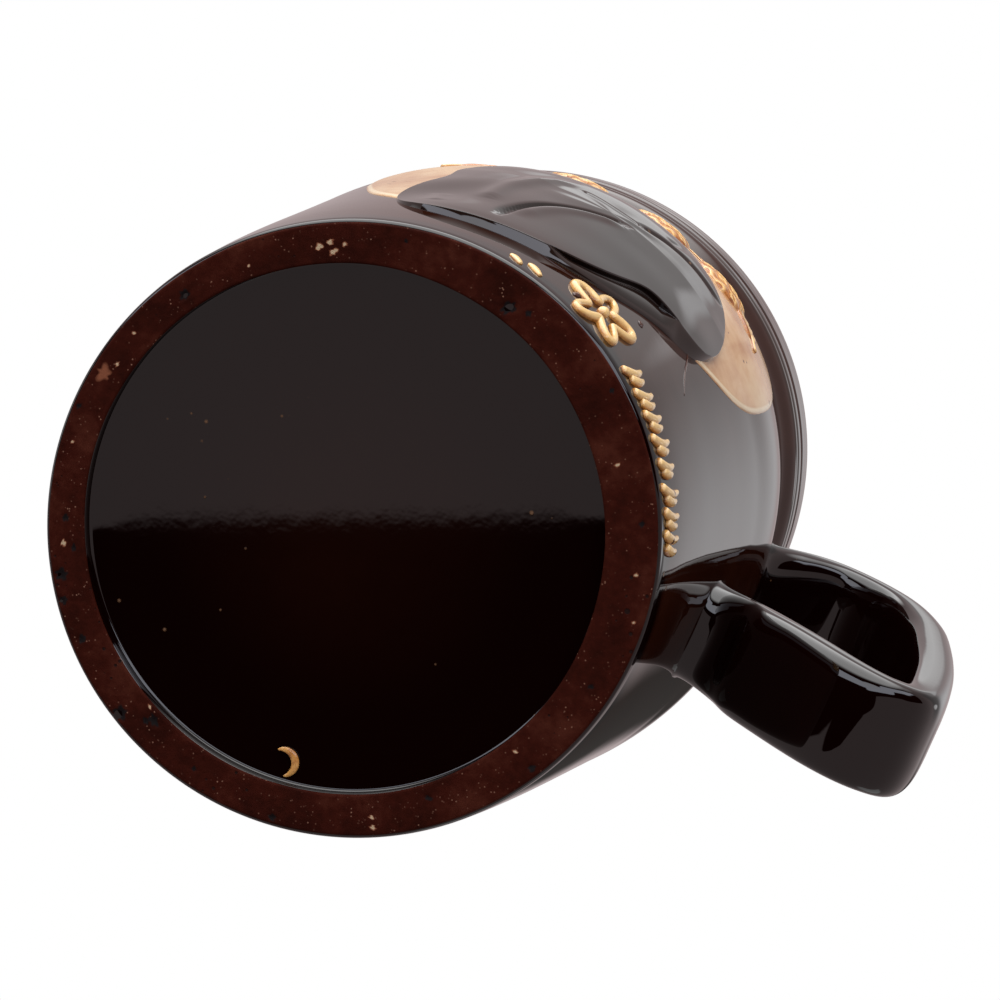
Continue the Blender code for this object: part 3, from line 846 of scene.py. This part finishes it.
def hop_cone(middle, z, lean):
    """One cone: a pointed egg on the wall, its dome stepped in rows of overlapping scales.

    Each row's height falls off like a saw tooth towards its lower edge, and the edges wave, each row half a
    scale along from the next.
    """
    along_axis = -np.cos(np.linspace(0.05, math.pi - 0.05, 76))[:, None]
    across, top = pillow_section(60)
    width = np.sqrt(1 - along_axis**2) * (1 - 0.25 * along_axis)
    side = across * width
    row = SCALE_ROWS * (along_axis + 1) / 2
    parity = np.floor(row) % 2
    edge = row + 0.28 * np.cos(math.pi * (3.2 * side + parity))
    tooth = 1 - (edge - np.floor(edge))
    dome = np.sqrt(np.clip(1 - along_axis**2 - across**2 * (1 - along_axis**2), 0, 1))
    rise = GROUND_RISE + CONE_RISE * dome * (0.78 + 0.30 * tooth**0.7)
    rise = np.where(top > 0, rise * np.sqrt(np.clip(1 - np.abs(across) ** 9, 0, 1)), -CONE_SUNK)
    along, height = leaning(middle, z, lean, side * CONE_HALF[0], along_axis * CONE_HALF[1])
    # Marks are highest on the raised top of each scale, where the slip finish lays a painted highlight.
    return closed_skin(on_wall(along, height, rise), tooth**2 * top)


def barley_grain(middle, z, lean, length, width, rise):
    """One grain: an egg with a crease down its middle, half sunk in the ground."""
    out = -np.cos(np.linspace(0.12, math.pi - 0.12, 12))[:, None]
    across, top = pillow_section(13)
    side = across * np.sqrt(1 - out**2) * (1 - 0.3 * out) * width
    along, height = leaning(middle, z, lean, side, out * length)
    dome = np.sqrt(np.clip((1 - out**2) * (1 - across**2), 0, 1)) * (1 - 0.25 * bell(across, 0, 0.2))
    stand = np.where(top > 0, GROUND_RISE - 0.1 + rise * dome, 0.2)
    # Marks are highest along the grain's raised middle, where the slip finish lays a painted highlight.
    return closed_skin(on_wall(along, height, stand), 0.9 * bell(across, 0, 0.5) * top + 0 * out)


def trailed_line(path, radius, lift, flat=1.0, marks=None):
    """A round thread along a path of (along, height) points on the wall, its radius given at each of them.

    The section is a circle across the path, pressed to the share flat in height. Its marks rise to 1 along
    the crest, times any marks given, and a slip finish lays a painted highlight there.
    """
    path = np.asarray(path, float)
    ahead = np.gradient(path, axis=0)
    ahead = ahead / np.hypot(*ahead.T)[:, None]
    turn = np.linspace(0, math.tau, 14, endpoint=False)
    radius = np.broadcast_to(radius, len(path))[:, None]
    side = radius * np.cos(turn)
    along = path[:, :1] - ahead[:, 1:] * side
    height = path[:, 1:] + ahead[:, :1] * side
    rise = lift + flat * radius * np.sin(turn)
    # Marks along the crest: under a slip finish, a painted highlight.
    top = np.clip(np.sin(turn), 0, 1) + 0 * radius
    return closed_skin(on_wall(along, height, rise), top if marks is None else top * marks[:, None])


def on_ear(hand, turn, out):
    """A point (along, height) on the arc that an ear lies on, moved out; hand is 1 right, -1 left."""
    half_width, half_height = EAR_OVAL
    return np.array([
        hand * (half_width + out) * np.cos(turn), EAR_MIDDLE + (half_height + out) * np.sin(turn),
    ])


def ear_of_barley(hand):
    """Both rows of grains with their bristles, and the stem under them, along an arc of an oval."""
    skins = []
    for k, turn in enumerate(np.linspace(*EAR_TURNS, EAR_GRAINS)):
        ahead = on_ear(hand, turn + 0.01, 0) - on_ear(hand, turn - 0.01, 0)
        heading = math.degrees(math.atan2(ahead[1], ahead[0])) - 90
        size = 1 - 0.25 * k / EAR_GRAINS
        for row in (-1, 1):
            along, height = on_ear(hand, turn, row * 1.05 * size)
            skins.append(barley_grain(along, height, heading - hand * row * 24, 2.3 * size, 1.05 * size, 0.5))
            start, end = on_ear(hand, turn + 0.04, row * 1.3), on_ear(hand, turn + 0.22, row * 1.9)
            path = start + (end - start) * np.linspace(0, 1, 7)[:, None]
            skins.append(trailed_line(path, np.linspace(0.20, 0.08, 7), GROUND_RISE + 0.05, 0.8))
    stem = np.linspace(EAR_TURNS[0] - 0.2, EAR_TURNS[1], 30)
    skins.append(trailed_line(on_ear(hand, stem, 0).T, 0.40, GROUND_RISE, 0.8))
    return skins


sprig_slip = slip_finish(
    "burnt_orange_slip", (0.16, 0.045, 0.012), (0.34, 0.12, 0.030), (0.46, 0.20, 0.060),
    (0.66, 0.42, 0.17), 120.0,
)
jug_piece("hop_cones", [hop_cone(*place) for place in CONES], sprig_slip)
jug_piece("barley_ears", ear_of_barley(-1) + ear_of_barley(1), sprig_slip)

# ---------------------------------------------------------------------------------------------------------
# The slip strokes: a trailed flower and a row of leaning dabs, put on low on the wall from a nozzle in slip,
# with a painted highlight in cream along each crest and painted shade in orange-brown towards its edges, and
# a few runs of the dark glaze beside them. They are ornament only, and spell nothing.
# ---------------------------------------------------------------------------------------------------------

# The dabs stand in a row: azimuths of the first and last from the front in degrees, heights there.
DAB_ROW = ((35.4, 68.5), (2.6, 1.6))
DAB_COUNT = 16
# Lengths of the dabs by turns, and their lean from level in degrees.
DAB_LENGTHS = (7.6, 5.0)
DAB_LEAN = 68.0
# Smears: azimuth, height and length.
SMEARS = ((7.6, 4.2, 2.4), (11.4, 5.0, 2.8))
# The flower: azimuth and height of its middle, and its half sizes.
FLOWER_MIDDLE = (24.8, 11.4)
FLOWER_HALF = (6.0, 8.8)
# A cream hook on the underside that is a painted glint: middle, radius, start and end in degrees, and half
# width.
CRESCENT_PLACE = (3.6, 34.2, 2.86)
CRESCENT_RADIUS = 1.9
CRESCENT_TURNS = (-130, 60)
CRESCENT_THICKNESS = 0.58
# Dark runs of glaze: azimuth and height of both ends, and half width.
GLAZE_RUNS = (
    (36.0, 43.0, 44.5, 28.0, 0.22), (18.6, 8.0, 21.5, 16.5, 0.9), (28.6, 26.6, 30.4, 25.4, 0.5),
)


def from_front(azimuth):
    """Length along the wall from the relief's middle line to an azimuth in degrees from the front."""
    return (math.radians(azimuth) - RELIEF_TURN) * BELLY_RADIUS


def tapering(t, thick):
    """Half width of a dab from its round head to its drawn-out tail."""
    swell = np.sqrt(np.clip(np.sin(math.pi * (0.10 + 0.86 * t)), 0, 1))
    return thick * (0.30 + 0.70 * swell * (1 - 0.45 * t))


def row_of_dabs():
    """Dabs side by side, all leaning the same way, long and short by turns, each a little different."""
    chance = np.random.default_rng(61)
    (first, last), (start, end) = DAB_ROW
    t = np.linspace(0, 1, 26)
    lean = math.radians(DAB_LEAN) + 0.35 * (t - 0.5)
    skins = []
    for number, share in enumerate(np.linspace(0, 1, DAB_COUNT)):
        length = DAB_LENGTHS[number % 2] * chance.uniform(0.88, 1.06)
        along = from_front(first + (last - first) * share) + chance.uniform(-0.2, 0.2)
        z = start + (end - start) * share + 0.5 * (DAB_LENGTHS[0] - length)
        path = np.stack([along + length * t * np.cos(lean), z + length * t * np.sin(lean)], 1)
        skins.append(trailed_line(path, tapering(t, 0.98), 0.10, 0.85))
    return skins


def trailed_flower():
    """A flower in one closed outline round a dot: its reach from the middle goes five times as a cosine."""
    t = np.linspace(0, math.tau, 220)
    reach = 0.72 + 0.28 * np.cos(5 * t)
    middle, z = from_front(FLOWER_MIDDLE[0]), FLOWER_MIDDLE[1]
    along = middle + FLOWER_HALF[0] * reach * np.cos(t + 0.5)
    height = z + FLOWER_HALF[1] * reach * np.sin(t + 0.5)
    outline = trailed_line(np.stack([along, height], 1), 0.78 * (1 + 0.18 * np.sin(3 * t + 1)), 0.12, 0.9)
    dot = middle + np.linspace(-0.9, 0.9, 9)
    thick = 1.3 * np.sin(np.linspace(0.3, math.pi - 0.3, 9)) ** 0.5
    return [outline, trailed_line(np.stack([dot, z + 0 * dot], 1), thick, 0.1, 0.9)]


def painted_glint_crescent():
    """A small hooked dab on the underside, at the foot of the ring, as a painted glint: half a circle of an
    oval section.
    """
    turn = np.radians(np.linspace(*CRESCENT_TURNS, 26))[:, None]
    round_it = np.linspace(0, math.tau, 12, endpoint=False)
    thick = CRESCENT_THICKNESS * np.sin(np.linspace(0.12, math.pi - 0.12, 26))[:, None] ** 0.7
    radius = CRESCENT_RADIUS + thick * np.cos(round_it)
    middle_x, middle_y, level = CRESCENT_PLACE
    x, y = middle_x + radius * np.cos(turn), middle_y + radius * np.sin(turn)
    return closed_skin(np.stack([x, y, level - 0.5 * thick * np.sin(round_it) + 0 * turn], -1))


def glaze_run(first_azimuth, first_z, last_azimuth, last_z, thick):
    """A thin run of glaze that wanders a little on its way down the wall."""
    t = np.linspace(0, 1, 40)
    along = from_front(first_azimuth) + (from_front(last_azimuth) - from_front(first_azimuth)) * t
    path = np.stack([along + 0.5 * np.sin(5 * t + 1), first_z + (last_z - first_z) * t], 1)
    return trailed_line(path, thick * (0.25 + 0.75 * np.sin(math.pi * t) ** 0.5), 0.02, 0.5)


def slip_smear(azimuth, z, size):
    """A low dab of slip that was touched while wet."""
    t = np.linspace(0, 1, 16)
    along, height = from_front(azimuth) + size * (t - 0.5), z - 0.5 * size * (t - 0.5) + 0.3 * np.sin(5 * t)
    path = np.stack([along, height], 1)
    return trailed_line(path, 0.80 * np.sin(math.pi * (0.1 + 0.8 * t)) ** 0.5, 0.0, 0.6)


cream_slip = slip_finish(
    "cream_slip", (0.20, 0.060, 0.013), (0.42, 0.185, 0.043), (0.55, 0.29, 0.080), (0.62, 0.41, 0.17), 260.0,
)
# The hook on the underside among these is a painted glint.
strokes = trailed_flower() + row_of_dabs() + [painted_glint_crescent()] + [slip_smear(*smear) for smear in SMEARS]
jug_piece("slip_strokes", strokes, cream_slip)
run_glaze = iron_glaze("run_glaze", (0.0026, 0.0003, 0.0002), (0.030, 0.006, 0.003), (0.052, 0.017, 0.009))
jug_piece("glaze_runs", [glaze_run(*run) for run in GLAZE_RUNS], run_glaze)

# ---------------------------------------------------------------------------------------------------------
# The studio: a plain pale floor, a soft white tent with soft boxes and dark flags in it, and the camera,
# which looks up at the underside from below and to the right of the relief.
# ---------------------------------------------------------------------------------------------------------

FLOOR_HALF = 4.0


def plain_floor():
    """A flat pale floor that is seen only from above and that takes no part in reflections."""
    mesh = bpy.data.meshes.new("floor")
    corners = [(x * FLOOR_HALF, y * FLOOR_HALF, low.z) for x, y in ((-1, -1), (1, -1), (1, 1), (-1, 1))]
    mesh.from_pydata(corners, [], [(0, 1, 2, 3)])
    material = bpy.data.materials.new("pale_paper")
    material.use_nodes = True
    tree = material.node_tree
    tree.nodes.clear()
    paper = add_node(tree, "BsdfDiffuse", {"Color": (0.80, 0.79, 0.78, 1)})
    clear = add_node(tree, "BsdfTransparent")
    backside = add_node(tree, "NewGeometry").outputs["Backfacing"]
    mixed = add_node(tree, "MixShader", {0: backside, 1: paper.outputs[0], 2: clear.outputs[0]})
    out = add_node(tree, "OutputMaterial", {"Surface": mixed.outputs[0]})
    mesh.materials.append(material)
    made = bpy.data.objects.new("floor", mesh)
    bpy.context.scene.collection.objects.link(made)
    made.visible_glossy = False
    made.visible_diffuse = False
    made.visible_shadow = False
    made.visible_transmission = False
    return made


plain_floor()

# How the jug is held to the camera, in degrees: its axis leans from the line of sight, and the axis and the
# handle point some way in the picture, counted from its right side towards its lower one.
AXIS_LEAN, AXIS_WAY, HANDLE_WAY = 12.5, -26.5, 24.7
# Where the middle of the foot is, in foot radii: right of the line of sight, below it, and ahead.
FOOT_PLACE = np.array([-0.4809, 0.0987, 14.5])
LENS = 163.9


def jug_to_camera():
    """The jug's own three axes as rows, each by its parts to the picture's right, down it, and ahead.

    The axis follows from its lean and its way, and the handle from its way and from being square to the axis.
    """
    lean, way, handle_way = np.radians((AXIS_LEAN, AXIS_WAY, HANDLE_WAY))
    to_rim = np.array([math.sin(lean) * math.cos(way), math.sin(lean) * math.sin(way), math.cos(lean)])
    to_handle = np.array([math.cos(handle_way), math.sin(handle_way), 0.0])
    to_handle[2] = -to_handle.dot(to_rim) / to_rim[2]
    to_handle /= np.linalg.norm(to_handle)
    return np.array([to_handle, np.cross(to_rim, to_handle), to_rim])


jug_axes = jug_to_camera()
camera_place = -jug_axes @ FOOT_PLACE * FOOT_RADIUS
right, down, ahead = (Vector(column) for column in jug_axes.T)
up = -down
camera_data = bpy.data.cameras.new("camera")
camera_data.lens = LENS
camera_data.clip_start, camera_data.clip_end = 0.05, 20.0
camera = bpy.data.objects.new("camera", camera_data)
bpy.context.scene.collection.objects.link(camera)
turned = Matrix((right, up, -ahead)).transposed().to_4x4()
camera.matrix_world = Matrix.Translation(Vector(camera_place * PART + AXIS)) @ turned
bpy.context.scene.camera = camera

# The tent's brightness, and soft patches of light or dark in it. Each is given by where directions point in
# the camera's own axes: ahead (1) or behind (-1), right and up; then how far it is turned in degrees, its two
# half sizes, the power of its outline (2 is an oval, 8 nearly a box), the share over which its edge fades,
# and its light in red, green and blue. Later ones lie over earlier ones.
TENT = (0.49, 0.41, 0.41)
DARK_FLAG = (0.004, 0.003, 0.003)
PATCHES = (
    # Ahead: the backdrop ends on the right in a bright edge, with darker parts beyond, above and below it.
    (1, 0.600, 0.150, 0, 0.20, 0.400, 2, 0.30, (0.26, 0.25, 0.25)),
    (1, 0.330, 0.330, 0, 0.18, 0.095, 2, 0.60, (0.42, 0.41, 0.41)),
    (1, 0.330, 0.255, 0, 0.080, 0.022, 2, 0.50, (0.78, 0.77, 0.78)),
    (1, 0.392, 0.010, 0, 0.105, 0.150, 2, 0.80, (0.76, 0.75, 0.76)),
    (1, 0.680, -0.070, 0, 0.070, 0.060, 2, 0.40, (1.40, 1.38, 1.40)),
    (1, 0.150, -0.185, 0, 0.15, 0.075, 2, 0.40, (0.05, 0.047, 0.045)),
    (1, 0.160, 0.280, 0, 0.11, 0.040, 2, 0.40, (0.95, 0.94, 0.94)),
    # Behind the camera: two large dark flags, and the soft boxes beside them.
    (-1, 0.000, 0.500, 0, 1.20, 0.500, 8, 0.02, DARK_FLAG),
    (-1, -0.412, -0.080, 0, 0.340, 0.116, 8, 0.03, DARK_FLAG),
    (-1, 0.120, 0.300, 0, 0.440, 0.150, 6, 0.05, (3.0, 3.1, 3.5)),
    (-1, 0.500, 0.480, 8, 0.340, 0.120, 6, 0.05, (3.0, 3.1, 3.5)),
    (-1, -0.560, 0.430, -20, 0.320, 0.110, 6, 0.05, (3.0, 3.1, 3.5)),
    (-1, -0.140, 0.400, 0, 0.21, 0.085, 3, 0.15, (3.00, 3.05, 3.30)),
    # Overhead, the main soft light, half on either side.
    (1, 0.100, 1.000, 0, 0.75, 0.300, 3, 0.30, (4.20, 4.20, 4.20)),
    (-1, 0.100, 1.000, 0, 0.75, 0.300, 3, 0.30, (4.20, 4.20, 4.20)),
    # Lights that only other views show in the glaze.
    (1, -0.950, 0.200, 0, 0.10, 0.200, 3, 0.25, (1.30, 1.30, 1.30)),
    (1, 0.250, -0.950, 0, 0.25, 0.090, 3, 0.25, (1.20, 1.20, 1.20)),
)


def studio_world():
    """The world: white where the camera sees it, and the soft tent for everything that it lights."""
    world = bpy.data.worlds.new("studio")
    bpy.context.scene.world = world
    world.use_nodes = True
    tree = world.node_tree
    tree.nodes.clear()
    toward = add_node(tree, "TexCoord").outputs["Generated"]

    def part(axis):
        product = add_node(tree, "VectorMath", {0: toward, 1: tuple(axis)}, operation="DOT_PRODUCT")
        return product.outputs["Value"]

    to_right, to_top, to_ahead = part(right), part(up), part(ahead)

    def part_of_two(x, y, share_x, share_y):
        x, y = math_node(tree, "MULTIPLY", x, share_x), math_node(tree, "MULTIPLY", y, share_y)
        return math_node(tree, "ADD", x, y)

    def raised(value, half, power):
        share = math_node(tree, "DIVIDE", math_node(tree, "ABSOLUTE", value), half)
        return math_node(tree, "POWER", share, power)

    colour = (*TENT, 1)
    for side, middle_x, middle_y, turned, half_x, half_y, power, fade, light in PATCHES:
        x = math_node(tree, "SUBTRACT", to_right, middle_x)
        y = math_node(tree, "SUBTRACT", to_top, middle_y)
        cosine, sine = math.cos(math.radians(turned)), math.sin(math.radians(turned))
        x, y = part_of_two(x, y, cosine, sine), part_of_two(x, y, -sine, cosine)
        x, y = raised(x, half_x, power), raised(y, half_y, power)
        away = math_node(tree, "POWER", math_node(tree, "ADD", x, y), 1 / power)
        inside = add_node(
            tree, "MapRange", {"Value": away, "From Min": 1 + fade, "From Max": 1 - fade},
            interpolation_type="SMOOTHSTEP",
        ).outputs["Result"]
        facing = math_node(tree, "GREATER_THAN", math_node(tree, "MULTIPLY", to_ahead, side), 0.0)
        colour = laid_over(tree, math_node(tree, "MULTIPLY", inside, facing), colour, light)

    tent = add_node(tree, "Background", {"Color": colour, "Strength": 1.0})
    white = add_node(tree, "Background", {"Color": (1, 1, 1, 1), "Strength": 1.0})
    seen = add_node(tree, "LightPath").outputs["Is Camera Ray"]
    mixed = add_node(tree, "MixShader", {0: seen, 1: tent.outputs[0], 2: white.outputs[0]})
    add_node(tree, "OutputWorld", {"Surface": mixed.outputs[0]})


studio_world()
bpy.context.scene.view_settings.view_transform = "Standard"
